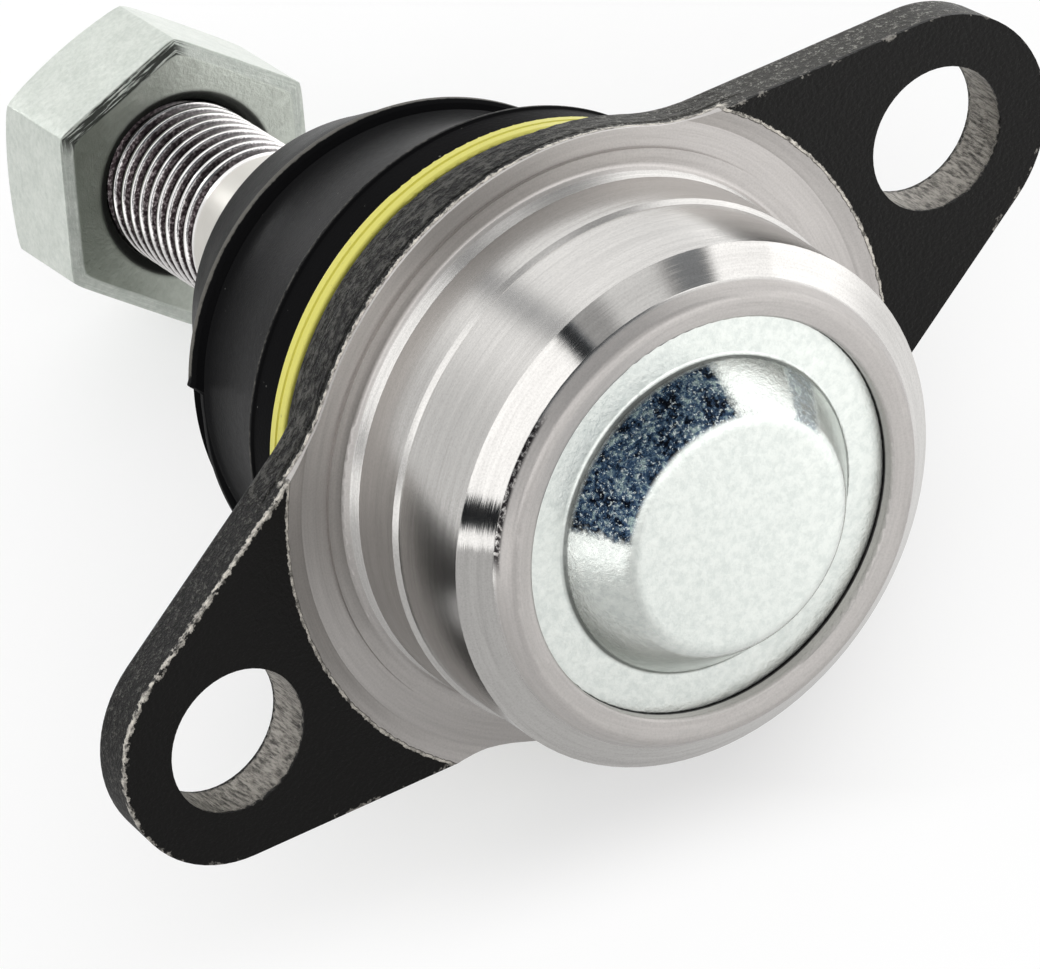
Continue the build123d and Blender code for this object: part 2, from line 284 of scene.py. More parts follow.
class Finish:
    """A surface finish. Each kind lays out its own nodes."""

    name: str

    def lay(self, sheet: Sheet) -> None:
        """Lay out the finish's nodes."""
        raise NotImplementedError

    def material(self) -> bpy.types.Material:
        """The finish as a material, made once."""
        found = bpy.data.materials.get(f"{self.name}_finish")
        if found is None:
            found = bpy.data.materials.new(f"{self.name}_finish")
            self.lay(Sheet(found))
        return found


# ---- Finishes ----
# Numbers that stand alone here are millimetres, radians, shares from 0 to 1, or a noise's scale,
# detail and roughness. Grit and grain are added to a place so that its edge turns ragged.
@dataclass(frozen=True)
class Spot:
    """A point on the housing, whose height runs along its axis with the cover up."""

    place: Flow
    height: Flow
    radius: Flow
    angle: Flow
    lug_radius: Flow
    grit: Flow


@dataclass(frozen=True)
class ForgedAndTurned(Finish):
    """Black painted forging with a turned spigot, disc and rim, in one material by place."""

    name: str = "forged_and_turned"
    paint: Colour = shade(18, 17, 16)
    # Painted light: lighter paint and grain for the side walls towards +X, the flank that catches more light.
    lit_side_paint: Colour = shade(62, 61, 58)
    paint_grain: Colour = shade(88, 87, 83)
    lit_side_grain: Colour = shade(158, 157, 150)
    steel: Colour = shade(208, 206, 203)
    dull_steel: Colour = shade(188, 184, 181)
    torn_steel: Colour = shade(214, 209, 200)
    # Dark tone for the steel's mottling, the hole bores and the painted shade in the rim's groove.
    dark_mottle_and_shade: Colour = shade(44, 42, 43)
    disc_radius: float = 24.1
    disc_height: float = -3.0
    skin_height: float = -2.6
    back_height: float = -6.5
    half_spacing: float = 32.0
    hole_radius: float = 5.25
    lug_radius: float = 9.0
    flank_radius: float = 19.8
    bevel_height: float = 9.9
    rim_height: float = 11.4
    rim_bore: float = 14.4
    root_height: float = -2.1
    root_half: float = 0.55
    root_radius: float = 20.0
    bore_torn_half: float = 1.6
    lit_side_from: float = 4.0
    lit_side_to: float = 16.0
    cast_height: float = -4.0
    cast_radius: float = 25.2
    scraped_x: float = -19.0
    scraped_z: float = -2.5
    dark_arc_angle: float = 2.3
    dark_arc_radius: float = 16.95

    def lay(self, sheet: Sheet) -> None:
        """Lay out paint, turned steel and torn edges."""
        place = sheet.place()
        x, y, z = sheet.split(place)
        height = y * -1.0
        radius, angle = sheet.polar(x, z)
        grit = sheet.noise(place, 2.2, 4.0, 0.65) - 0.5
        fine = sheet.noise(place, 7.0, 3.0, 0.6)
        lug_radius, lug_angle = sheet.polar(abs(x) - self.half_spacing, z)

        turned = sheet.above(height + grit * 0.3, self.disc_height - 0.24, 0.04)
        turned = turned & sheet.below(radius + grit * 0.35, self.disc_radius, 0.04)
        middle = (self.skin_height + self.back_height) / 2
        bore = sheet.below(lug_radius, self.hole_radius + 0.04, 0.02)
        uneven = abs(height - middle + grit * 1.1)
        bore = bore & sheet.step(uneven, self.bore_torn_half + 0.25, self.bore_torn_half)
        spot = Spot(place, height, radius, angle, lug_radius, grit)
        chipped = self._edge_chips(sheet, spot)
        torn_off = (bore | chipped) * (1 - turned)
        bare = turned | torn_off

        on_disc = sheet.below(height, self.disc_height + 0.5, 0.05)
        on_bevel = sheet.band(height, (self.bevel_height + self.rim_height) / 2, 0.7, 0.06)
        on_rim = sheet.step(height, self.rim_height, self.rim_height + 0.25)
        dull = on_disc | on_rim
        rings = sheet.noise(sheet.join(radius * 8.0, height * 8.0, angle * 0.6), 1.0, 3.0, 0.7)
        wide_rings = sheet.noise(sheet.join(radius * 1.6, height * 1.6, angle * 0.4), 1.0, 2.0, 0.5)
        scratches = sheet.noise(sheet.join(radius * 5.0, height * 5.0, angle * 4.0), 1.0, 4.0, 0.7)
        around_bore = sheet.join(lug_angle * 14.0, height * 0.5, radius * 0.3)
        torn = sheet.noise(sheet.lerp_vector(bore, place, around_bore), 1.6, 5.0, 0.72)

        steel = sheet.mix(dull, self.steel, self.dull_steel)
        steel = sheet.mix(sheet.step(scratches, 0.3, 0.8) * 0.22, steel, darker(self.dull_steel, 0.5))
        steel = sheet.mix(sheet.step(fine, 0.35, 0.75) * 0.12, steel, self.dark_mottle_and_shade)
        steel = sheet.mix(sheet.step(wide_rings, 0.35, 0.7) * 0.08, steel, self.dark_mottle_and_shade)
        # painted shade: a dark line in the groove between the rim and the cover; also a darker blotched arc
        # on the rim
        steel = sheet.mix(self._groove_shade_and_dark_arc(sheet, spot), steel, self.dark_mottle_and_shade)
        shreds = sheet.mix(sheet.step(torn, 0.32, 0.62), darker(self.torn_steel, 0.14), self.torn_steel)
        shreds = sheet.mix(bore * 0.38, shreds, self.dark_mottle_and_shade)
        metal = sheet.mix(turned, shreds, steel)
        on_side = sheet.below(height, self.skin_height - 0.3, 0.15)
        grain = sheet.step(fine + grit * on_side, 0.52, 0.8)
        # painted light: the side walls' paint and grain turn lighter towards +X
        lit_side = sheet.step(x, self.lit_side_from, self.lit_side_to)
        side_grain = sheet.mix(lit_side, self.paint_grain, self.lit_side_grain)
        paint = sheet.mix(lit_side * on_side * 0.8, self.paint, self.lit_side_paint)
        paint = sheet.mix(grain * sheet.lerp(on_side, 0.05, 0.9), paint, side_grain)
        cast = sheet.below(height, self.cast_height, 0.2) & sheet.below(radius, self.cast_radius, 0.4)
        lumps = sheet.noise(sheet.stretch(place, (1.0, 1.7, 1.0)), 1.15, 5.0, 0.62)
        paint = sheet.mix(cast * sheet.step(lumps, 0.46, 0.66) * 0.8, paint, self.paint_grain)

        peel = sheet.noise(place, 3.0, 2.0, 0.5)
        relief = sheet.lerp(on_side, peel * 0.9 + fine * 0.15, grit * 1.3 + fine * 0.4)
        relief = sheet.lerp(cast, relief, lumps * 5.0)
        relief = sheet.lerp(turned, relief, rings * sheet.lerp(on_disc, 0.025, 0.07) + wide_rings * 0.05)
        relief = sheet.lerp(torn_off, relief, torn * 1.6)
        polish = sheet.lerp(on_bevel, sheet.lerp(scratches, 0.18, 0.3), sheet.lerp(scratches, 0.03, 0.09))
        polish = sheet.lerp(dull, polish, sheet.lerp(scratches, 0.30, 0.42))
        root = sheet.band(height, self.root_height, self.root_half, 0.06)
        root = root & sheet.below(radius, self.root_radius, 0.2)
        facing = sheet.unit(sheet.join(x / radius, -1.0, z / radius))
        plain = sheet.node("NewGeometry", {}, "Normal")
        normal = sheet.unit(sheet.lerp_vector(root, plain, facing))
        sheet.surface({
            "Base Color": sheet.mix(bare, paint, metal),
            "Metallic": bare - on_rim * 0.4,
            "Roughness": sheet.lerp(bare, sheet.lerp(fine, 0.4, 0.6), sheet.lerp(turned, 0.55, polish)),
            "Specular IOR Level": 0.15,
            "Normal": sheet.bump(relief, 0.12, normal),
        })

    def _edge_chips(self, sheet: Sheet, spot: Spot) -> Flow:
        """Mask of bare metal along the front edges of the lugs, the waist and the disc."""
        x, _, z = sheet.split(spot.place)
        height, radius, grit = spot.height, spot.radius, spot.grit
        lean = math.asin((self.flank_radius - self.lug_radius) / self.half_spacing)
        flank = abs(x) * math.sin(lean) + abs(z) * math.cos(lean) - self.flank_radius
        beyond = sheet.step(abs(x), self.half_spacing, self.half_spacing + 2.0)
        inset = sheet.lerp(beyond, flank, spot.lug_radius - self.lug_radius)
        scraped_side = sheet.below(x, self.scraped_x, 1.0) & sheet.above(z, self.scraped_z, 1.5)
        gaps = sheet.noise(spot.place, 0.9, 3.0, 0.6)
        front = self.disc_height
        lip = sheet.step(inset + grit * 1.3, -0.2, -0.1)
        lip = lip & sheet.above(height + grit * 0.9, front + 0.03, 0.05)
        lip = lip & sheet.lerp(scraped_side, sheet.step(gaps, 0.56, 0.60), sheet.step(gaps, 0.36, 0.40))
        lip = lip & sheet.above(radius, self.disc_radius, 0.2)
        waist = sheet.band(height + grit * 0.9, front - 0.36, 0.18, 0.06)
        waist = waist & sheet.below(radius, self.disc_radius + 0.3, 0.2)
        rim = sheet.band(radius + grit * 0.5, self.disc_radius + 0.08, 0.10, 0.05)
        lip = lip * sheet.lerp(scraped_side, 0.4, 1.0)
        return lip | waist | (rim & sheet.above(height, front - 0.2, 0.1))

    def _groove_shade_and_dark_arc(self, sheet: Sheet, spot: Spot) -> Flow:
        """Mask of the painted shade in the groove round the cover and of a darker blotched arc on the rim."""
        height, radius = spot.height, spot.radius
        on_rim = sheet.above(height, self.rim_height - 0.05, 0.05)
        # painted shade in the gap between the rim and the cover
        groove_shade = sheet.below(radius, self.rim_bore + 0.11, 0.05)
        groove_shade = groove_shade & sheet.below(height, self.rim_height + 0.26, 0.06)
        blotch = sheet.noise(spot.place, 3.2, 4.0, 0.7)
        dark_arc = sheet.band(spot.angle, self.dark_arc_angle, 0.26, 0.12)
        dark_arc = dark_arc & sheet.band(radius, self.dark_arc_radius, 0.2, 0.15)
        return on_rim & (groove_shade | (dark_arc & sheet.step(blotch, 0.36, 0.52)))


@dataclass(frozen=True)
class CoverZinc(Finish):
    """Zinc plated cover: satin flats and a shinier, blotched dome wall, blued partly by its chromate and
    partly by painted dark reflection.
    """

    name: str = "zinc_cover"
    tint: Colour = shade(240, 243, 238)
    shadow: Colour = shade(196, 203, 199)
    # Colours of the dome wall's blue mottle, partly the chromate's own and partly painted dark reflection;
    # black also serves the painted shade at the wall's foot.
    black: Colour = shade(14, 18, 26)
    navy: Colour = shade(56, 78, 104)
    teal: Colour = shade(150, 168, 166)
    fleck: Colour = shade(214, 222, 220)
    face_height: float = 11.4
    dome_height: float = 15.5
    edge_radius: float = 14.4
    blued_reflection_angle: float = 1.77
    blued_reflection_half: float = 0.66
    reflected_streak_angle: float = 0.38
    reflected_streak_half: float = 0.08

    def lay(self, sheet: Sheet) -> None:
        """Lay out the flats, the dome's wall, and the painted shade at the wall's foot and at the edge under
        the rim.
        """
        place = sheet.place()
        x, y, z = sheet.split(place)
        height = y * -1.0
        radius, angle = sheet.polar(x, z)
        cloud = sheet.noise(place, 0.4, 3.0, 0.6)
        grain = sheet.noise(place, 2.4, 4.0, 0.7)
        crystal = sheet.noise(place, 2.6, 5.0, 0.75)
        pool = sheet.noise(place, 0.75, 4.0, 0.65)
        sparkle = sheet.noise(place, 4.2, 3.0, 0.65)
        wall = sheet.above(height, self.face_height + 0.4, 0.2)
        wall = wall & sheet.below(height, self.dome_height - 0.26, 0.14)
        # Partly the chromate's real blue mottle, partly painted reflection: one arc of the dome wall and a
        # narrow streak take a dark blue mottle with pale flecks.
        ragged = angle + (grain - 0.5) * 0.16
        reflected_streak = sheet.band(ragged, self.reflected_streak_angle, self.reflected_streak_half, 0.1)
        blued_and_reflected = sheet.band(ragged, self.blued_reflection_angle, self.blued_reflection_half, 0.08) | (reflected_streak * 0.6)
        blue = sheet.mix(sheet.step(pool * 0.5 + crystal * 0.5, 0.42, 0.52), self.black, self.navy)
        blue = sheet.mix(sheet.step(pool * 0.4 + crystal * 0.6, 0.50, 0.60), blue, self.teal)
        blue = sheet.mix(sheet.step(sparkle, 0.58, 0.64) * 0.8, blue, self.fleck)
        worn = sheet.noise(place, 1.3, 5.0, 0.75)
        blotches = cloud * 0.3 + grain * 0.4 + sheet.step(worn, 0.36, 0.6) * 0.3
        colour = sheet.mix(blotches, self.shadow, self.tint)
        colour = sheet.mix(wall & blued_and_reflected, colour, blue)
        # painted shade: a dark line in the corner at the foot of the dome's wall
        foot_shade = sheet.band(height, self.face_height + 0.22, 0.08, 0.12)
        colour = sheet.mix(foot_shade * 0.55, colour, self.black)
        # painted shade: the cover's edge darkens in the gap under the housing's rim
        rim_gap_shade = sheet.above(radius + (grain - 0.5) * 0.15, self.edge_radius - 0.08, 0.04)
        colour = sheet.mix(rim_gap_shade, colour, darker(self.tint, 0.08))
        wall_relief = grain * 0.5 + crystal * (blued_and_reflected * 1.6 + 0.5)
        sheet.surface({
            "Base Color": colour,
            "Metallic": 0.94,
            "Roughness": sheet.lerp(wall, sheet.lerp(grain, 0.24, 0.38), sheet.lerp(grain, 0.08, 0.22)),
            "Normal": sheet.bump(sheet.lerp(wall, grain * 0.7 + worn * 0.4, wall_relief), 0.05),
        })


@dataclass(frozen=True)
class NutZinc(Finish):
    """Dull zinc plated nut, greyer on its near face through painted shade, most away from the pale side,
    whose axis is the piece's own Z.
    """

    name: str = "zinc_nut"
    tint: Colour = shade(214, 218, 211)
    shadow: Colour = shade(172, 180, 172)
    face: Colour = shade(214, 219, 210)
    # Darker grey for the painted shade and mottle on the near face.
    face_shade_and_mottle: Colour = shade(132, 138, 128)
    # Dark colour for the painted reflection on the bevel and the painted shade in the countersink.
    dark_reflection_and_shade: Colour = shade(40, 42, 38)
    bevel_height: float = 0.25
    face_edge: float = 8.2
    sink_edge: float = 6.85
    dark_bevel_angle: float = -1.57
    dark_bevel_half: float = 0.5

    def lay(self, sheet: Sheet) -> None:
        """Lay out the flats, the near face, its scuffed bevel with painted dark reflection, and painted shade
        in the countersink.
        """
        place = sheet.place()
        x, y, z = sheet.split(place)
        radius, angle = sheet.polar(x, y)
        past_corner = sheet.maths("PINGPONG", angle, math.pi / 6)
        across = radius * sheet.maths("COSINE", math.pi / 6 - past_corner)
        cloud = sheet.noise(place, 0.5, 3.0, 0.6)
        grain = sheet.noise(place, 2.2, 4.0, 0.7)
        scuff = sheet.noise(sheet.join(across * 6.0, angle * 3.0, z * 2.0), 1.0, 4.0, 0.7)
        face = sheet.step(z, 0.06, 0.01)
        bevel = sheet.band(z, self.bevel_height / 2, self.bevel_height / 2 - 0.03, 0.03)
        bevel = bevel & sheet.above(radius, self.face_edge, 0.2)
        toward_pale_side = x * PALE_SIDE[0] + y * PALE_SIDE[1]
        # painted shade: the near face is mixed toward a darker grey, most away from the pale side
        face_side_shade = sheet.step(toward_pale_side + (cloud - 0.5) * 6.0, 3.0, -9.0)
        # partly real scuffs, partly painted reflection: the bevel's scuffs darken strongly within this arc
        # and only faintly elsewhere
        rubbed = sheet.band(angle, self.dark_bevel_angle, self.dark_bevel_half, 0.15)
        colour = sheet.mix(sheet.step(cloud * 0.35 + grain * 0.65, 0.15, 0.8), self.shadow, self.tint)
        plain_face = sheet.mix(face_side_shade, self.face, self.face_shade_and_mottle)
        colour = sheet.mix(face, colour, sheet.mix(grain * 0.5, plain_face, self.face_shade_and_mottle))
        scuff_and_dark_reflection = sheet.step(scuff, 0.58, 0.5) * sheet.lerp(rubbed, 0.14, 0.95)
        colour = sheet.mix(bevel * scuff_and_dark_reflection, colour, self.dark_reflection_and_shade)
        # painted shade in the countersink round the bore
        sink = sheet.below(radius, self.sink_edge, 0.25)
        colour = sheet.mix(sink * 0.9, colour, self.dark_reflection_and_shade)
        sheet.surface({
            "Base Color": colour,
            "Metallic": sheet.lerp(face, 0.6, 0.92),
            "Roughness": sheet.lerp(grain, 0.26, 0.42),
            "Normal": sheet.bump(grain + scuff * 0.3, 0.055),
        })


@dataclass(frozen=True)
class RolledThread(Finish):
    """Bright rolled thread and ground shank of the stud, whose axis is the piece's own Z."""

    name: str = "rolled_thread"
    steel: Colour = shade(236, 233, 232)
    # Colour of the thread's roots: painted shade and dark reflection, with real pits.
    root: Colour = shade(42, 36, 38)
    pitted: Colour = shade(128, 120, 121)
    shank: Colour = shade(206, 203, 197)
    taper_end: float = 53.2
    crest_radius: float = 6.0

    def lay(self, sheet: Sheet) -> None:
        """Lay out the two steels by place along the stud."""
        place = sheet.place()
        x, y, z = sheet.split(place)
        radius, angle = sheet.polar(x, y)
        thread = sheet.above(z, self.taper_end + 0.75, 0.15)
        lines = sheet.noise(sheet.join(angle * 1.2, z * 6.0, 0.0), 1.0, 3.0, 0.6)
        speckle = sheet.noise(place, 4.5, 4.0, 0.75)
        # painted shade and reflection in the thread's roots, with real pits, strongest on the stained side
        # away from the pale side
        depth = sheet.below(radius + (speckle - 0.5) * 0.22, self.crest_radius - 0.125, 0.075)
        stain_and_shade_side = sheet.step(x * PALE_SIDE[0] + y * PALE_SIDE[1], 4.5, -2.5)
        flank = sheet.mix(sheet.step(speckle, 0.48, 0.62) * 0.7, self.root, self.pitted)
        thread_colour = sheet.mix(depth * sheet.lerp(stain_and_shade_side, 0.55, 1.0), self.steel, flank)
        sheet.surface({
            "Base Color": sheet.mix(thread, self.shank, thread_colour),
            "Metallic": sheet.lerp(thread, 0.8, 1.0),
            "Roughness": sheet.lerp(thread, 0.36, sheet.lerp(speckle, 0.06, 0.24)),
            "Normal": sheet.bump(sheet.lerp(thread, lines, speckle * 0.4), 0.03),
        })


@dataclass(frozen=True)
class BootRubber(Finish):
    """Black satin rubber with lighter worn ridges and a little dust."""

    name: str = "boot_rubber"
    black: Colour = shade(21, 21, 22)
    worn_edge: Colour = shade(106, 104, 99)
    dust: Colour = shade(140, 140, 136)

    def lay(self, sheet: Sheet) -> None:
        """Lay out rubber, worn ridges from the mesh's wear attribute, and dust specks."""
        place = sheet.place()
        wear = sheet.node("Attribute", {}, "Fac", attribute_name="wear")
        grain = sheet.noise(place, 2.0, 4.0, 0.6)
        scuff = sheet.step(wear + (grain - 0.5) * 0.9, 0.45, 0.9)
        specks = sheet.step(sheet.cells(place, 0.9), 0.075, 0.05) & sheet.step(grain, 0.5, 0.62)
        colour = sheet.mix(scuff * 0.75, self.black, self.worn_edge)
        colour = sheet.mix(specks * 0.6, colour, self.dust)
        sheet.surface({
            "Base Color": colour,
            "Roughness": sheet.lerp(grain, 0.3, 0.44),
            "Specular IOR Level": 0.018,
            "Normal": sheet.bump(sheet.noise(place, 4.5, 3.0, 0.6), 0.02),
        })


@dataclass(frozen=True)
class CoatedYellow(Finish):
    """Yellow coated spring steel with dark specks rubbed along it."""

    name: str = "clamp_yellow"
    yellow: Colour = shade(214, 208, 98)
    rubbed: Colour = shade(96, 92, 50)

    def lay(self, sheet: Sheet) -> None:
        """Lay out the coat and its rubbed specks."""
        place = sheet.place()
        x, y, z = sheet.split(place)
        _, angle = sheet.polar(x, z)
        specks = sheet.noise(sheet.join(angle * 26.0, y * 3.0, 0.0), 1.0, 4.0, 0.75)
        colour = sheet.mix(sheet.step(specks, 0.62, 0.74) * 0.8, self.yellow, self.rubbed)
        sheet.surface({
            "Base Color": colour,
            "Roughness": 0.38,
            "Normal": sheet.bump(specks, 0.02),
        })


@dataclass(frozen=True)
class PlainMoulding(Finish):
    """Plain moulded plastic or plain steel for pieces that are mostly out of sight."""

    name: str
    tint: Colour
    metallic: float = 0.0
    roughness: float = 0.45

    def lay(self, sheet: Sheet) -> None:
        """Lay out a lightly mottled plain surface."""
        place = sheet.place()
        mottle = sheet.noise(place, 1.2, 3.0, 0.6)
        sheet.surface({
            "Base Color": sheet.mix(mottle, darker(self.tint, 0.85), self.tint),
            "Metallic": self.metallic,
            "Roughness": sheet.lerp(mottle, self.roughness * 0.8, self.roughness * 1.2),
            "Normal": sheet.bump(sheet.noise(place, 6.0, 2.0, 0.5), 0.01),
        })


# ---- Mesh building ----
def rounded(corners: Sequence[tuple[float, float, float]], arc_steps: int = 6) -> np.ndarray:
    """Line through corners with each corner rounded.

    Args:
        corners: (first, second, fillet radius) of each corner.
        arc_steps: Points on each rounding, less one.

    Returns:
        The points, one row each.
    """
    points = [np.array(c[:2]) for c in corners]
    line = [points[0]]
    for before, here, after, (_, _, fillet) in zip(points, points[1:], points[2:], corners[1:]):
        into, out = here - before, after - here
        into_length, out_length = np.linalg.norm(into), np.linalg.norm(out)
        into, out = into / into_length, out / out_length
        turn = math.acos(max(-1.0, min(1.0, float(into @ out))))
        if fillet <= 0 or turn < 0.02:
            line.append(here)
            continue
        cut = min(fillet * math.tan(turn / 2), 0.45 * into_length, 0.45 * out_length)
        start, end = here - into * cut, here + out * cut
        for k in range(arc_steps + 1):
            t = k / arc_steps
            line.append((1 - t) ** 2 * start + 2 * t * (1 - t) * here + t * t * end)
    line.append(points[-1])
    return np.array(line)


def flowing(points: Sequence[tuple[float, float]], steps: int = 10) -> np.ndarray:
    """Smooth line through points, with steps between each two of them."""
    known = [np.array(p, float) for p in points]
    known = [2 * known[0] - known[1], *known, 2 * known[-1] - known[-2]]
    line = []
    for a, b, c, d in zip(known, known[1:], known[2:], known[3:]):
        for k in range(steps):
            t = k / steps
            curve = (2 * a - 5 * b + 4 * c - d) * t**2 + (3 * b - a - 3 * c + d) * t**3
            line.append(0.5 * (2 * b + (c - a) * t + curve))
    line.append(known[-2])
    return np.array(line)


def ring_faces(count: int, around: int, start: int = 0, looped: bool = False) -> list[tuple[int, ...]]:
    """Four-sided faces between neighbouring rings of points.

    Args:
        count: Number of rings.
        around: Points on each ring.
        start: Index of the first ring's first point.
        looped: Whether the last ring joins the first.

    Returns:
        The faces.
    """
    faces = []
    for i in range(count if looped else count - 1):
        here, there = start + i * around, start + (i + 1) % count * around
        for k in range(around):
            n = (k + 1) % around
            faces.append((here + k, here + n, there + n, there + k))
    return faces


class RingMesh:
    """A mesh skinned through rings of equally many points."""

    def __init__(self, rings: np.ndarray, looped: bool = False) -> None:
        """Keep the rings.

        Args:
            rings: Array of rings by points by three, in millimetres.
            looped: Whether the last ring joins the first.
        """
        self.rings = rings
        self.looped = looped

    def build(self, name: str, sharp_angle: float, marks: dict[str, np.ndarray] = None) -> bpy.types.Object:
        """Make the object.

        Args:
            name: The piece's name.
            sharp_angle: Edges that turn by more than this, in degrees, stay sharp.
            marks: Numbers for each point, as rings by points, stored under their names.

        Returns:
            The object, in metres.
        """
        count, around, _ = self.rings.shape
        faces = ring_faces(count, around, looped=self.looped)
        mesh = bpy.data.meshes.new(name)
        mesh.from_pydata((self.rings.reshape(-1, 3) * MM).tolist(), [], faces)
        for mark, values in (marks or {}).items():
            layer = mesh.attributes.new(mark, "FLOAT", "POINT")
            layer.data.foreach_set("value", values.reshape(-1).astype(np.float32))
        return finish_mesh(mesh, name, sharp_angle)


def finish_mesh(mesh: bpy.types.Mesh, name: str, sharp_angle: float) -> bpy.types.Object:
    """Merge doubled points, turn the faces outwards, smooth the mesh and put it in the scene."""
    work = bmesh.new()
    work.from_mesh(mesh)
    bmesh.ops.remove_doubles(work, verts=work.verts, dist=MERGE)
    bmesh.ops.dissolve_degenerate(work, dist=MERGE, edges=work.edges)
    bmesh.ops.recalc_face_normals(work, faces=work.faces)
    work.to_mesh(mesh)
    work.free()
    mesh.shade_smooth()
    mesh.set_sharp_from_angle(angle=math.radians(sharp_angle))
    return put(name, mesh)


def turned_rings(profile: np.ndarray, around: int) -> np.ndarray:
    """Rings of a profile of (radius, station) points turned about Z."""
    angles = np.linspace(0, 2 * math.pi, around, endpoint=False)
    radius, station = profile[:, 0, None], profile[:, 1, None]
    return np.stack([radius * np.cos(angles), radius * np.sin(angles), station + 0 * angles], axis=2)


def dress(piece: bpy.types.Object, finish: Finish) -> None:
    """Give a piece one finish all over."""
    piece.data.materials.clear()
    piece.data.materials.append(finish.material())


# ---- The stud's line ----
@dataclass(frozen=True)
class StudLine:
    """The stud's rest tilt about the ball's centre."""

    swing_down: float = 9.2
    swing_side: float = 3.0

    def frame(self, share: float = 1.0) -> Matrix:
        """Frame whose Z runs along the stud, swung by a share of the rest tilt."""
        down = Matrix.Rotation(math.radians(-self.swing_down * share), 4, "X")
        side = Matrix.Rotation(math.radians(-self.swing_side * share), 4, "Z")
        return down @ side @ Matrix.Rotation(math.radians(-90), 4, "X")

    def at(self, station: float) -> tuple[float, float, float]:
        """Point on the stud's axis at a station in millimetres, in metres."""
        return tuple(self.frame() @ Vector((0, 0, station * MM)))


# ---- Sub-assemblies ----
@dataclass
class CarriedNodes:
    """CAD nodes whose shape is kept and which only get a finish."""

    def dress(self) -> None:
        """Give each carried node its finish."""
        finishes = {
            "housing": (ForgedAndTurned(), "forged_steel"),
            "cover_plate": (CoverZinc(), "zinc_cover"),
            "clamp_ring": (CoatedYellow(), "clamp_yellow"),
            "bearing_front": (PlainMoulding("acetal", shade(232, 228, 216)), "bearing_plastic"),
            "bearing_rear": (PlainMoulding("acetal", shade(232, 228, 216)), "bearing_plastic"),
            "boot_end_ring": (PlainMoulding("plain_steel", shade(170, 170, 170), 1.0), "end_ring_steel"),
            "nut_insert": (PlainMoulding("polyamide", shade(228, 228, 220)), "insert_plastic"),
        }
        for node, (finish, slot) in finishes.items():
            dress(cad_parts[node], finish)
            log.info("%s dressed in %s", node, finish.name)


@dataclass
class BallStud:
    """Ball, neck, boot seat, taper and real helical thread."""

    line: StudLine
    ball_radius: float = 12.0
    pole_cut: float = 1.2
    neck_radius: float = 5.5
    neck_end: float = 25.0
    seat_radius: float = 7.2
    seat_start: float = 30.0
    seat_end: float = 40.2
    taper_end: float = 53.2
    taper_radius: float = 6.65
    thread_radius: float = 6.0
    pitch: float = 1.5
    thread_depth: float = 0.92
    plain_length: float = 0.9
    stud_end: float = 79.7
    tip_chamfer: float = 1.0
    centre_hole: float = 1.5
    around: int = 128

    def shank_profile(self) -> np.ndarray:
        """(radius, station) points from the ball's front pole to the taper's end."""
        neck_angle = math.asin(self.neck_radius / self.ball_radius)
        pole_angle = math.acos((self.ball_radius - self.pole_cut) / self.ball_radius)
        sweep = np.linspace(math.pi - pole_angle, neck_angle, 60)
        ball = [(self.ball_radius * math.sin(a), self.ball_radius * math.cos(a)) for a in sweep]
        rest = rounded([
            (*ball[-1], 0),
            (self.neck_radius, self.neck_end, 3.0),
            (self.seat_radius, self.seat_start, 0.5),
            (self.seat_radius, self.seat_end, 0.3),
            (self.taper_radius, self.seat_end, 0.2),
            (self.thread_radius, self.taper_end, 0),
        ])
        return np.array([(0.0, ball[0][1]), *ball, *rest[1:]])

    def thread_profile(self) -> list[tuple[float, float]]:
        """(share of the pitch, share of the depth) points of one turn, crest to crest."""
        return [
            (0.00, 0.00), (0.07, 0.00), (0.125, 0.04), (0.20, 0.26), (0.28, 0.56), (0.36, 0.84), (0.43, 0.97),
            (0.50, 1.00), (0.57, 0.97), (0.64, 0.84), (0.72, 0.56), (0.80, 0.26), (0.875, 0.04), (0.93, 0.00),
        ]

    def thread(self) -> tuple[list, list]:
        """Points and faces of the helical thread."""
        turn = self.thread_profile()
        per_turn = len(turn)
        turns = math.ceil((self.stud_end - self.taper_end) / self.pitch) + 2
        rows = [(cycle + share, depth) for cycle in range(-1, turns) for share, depth in turn]
        points, faces = [], []
        for lead, depth in rows:
            for k in range(self.around):
                share = k / self.around
                station = self.taper_end + (lead + share) * self.pitch
                station = min(max(station, self.taper_end), self.stud_end)
                run_out = min(max((station - self.taper_end - self.plain_length) / self.pitch, 0.0), 1.0)
                radius = self.thread_radius - self.thread_depth * depth * run_out
                radius = min(radius, self.thread_radius - self.tip_chamfer + self.stud_end - station)
                angle = 2 * math.pi * share
                points.append((radius * math.cos(angle), radius * math.sin(angle), station))
        for i in range(len(rows) - 1):
            for k in range(self.around):
                if k + 1 < self.around:
                    right, right_next = i * self.around + k + 1, (i + 1) * self.around + k + 1
                elif i + 1 + per_turn < len(rows):
                    right, right_next = (i + per_turn) * self.around, (i + 1 + per_turn) * self.around
                else:
                    continue
                faces.append((i * self.around + k, right, right_next, (i + 1) * self.around + k))
        return points, faces

    def build(self) -> None:
        """Make the stud in place of its CAD node."""
        shank = turned_rings(self.shank_profile(), self.around)
        points, faces = self.thread()
        mesh = bpy.data.meshes.new("ball_stud_threaded")
        shank_points = shank.reshape(-1, 3).tolist()
        offset = len(shank_points)
        tip = turned_rings(np.array([
            (self.thread_radius - self.tip_chamfer, self.stud_end),
            (self.centre_hole, self.stud_end),
            (0.0, self.stud_end - self.centre_hole),
        ]), self.around).reshape(-1, 3).tolist()
        tip_offset = offset + len(points)
        quads = [tuple(offset + v for v in f) for f in faces]
        quads += ring_faces(len(shank), self.around) + ring_faces(3, self.around, tip_offset)
        mesh.from_pydata((np.array(shank_points + points + tip) * MM).tolist(), [], quads)
        piece = finish_mesh(mesh, "ball_stud_threaded", 38.0)
        piece.matrix_world = self.line.frame()
        dress(piece, RolledThread())
        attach(piece, "stud")
        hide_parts("ball_stud")
        log.info("ball stud built")


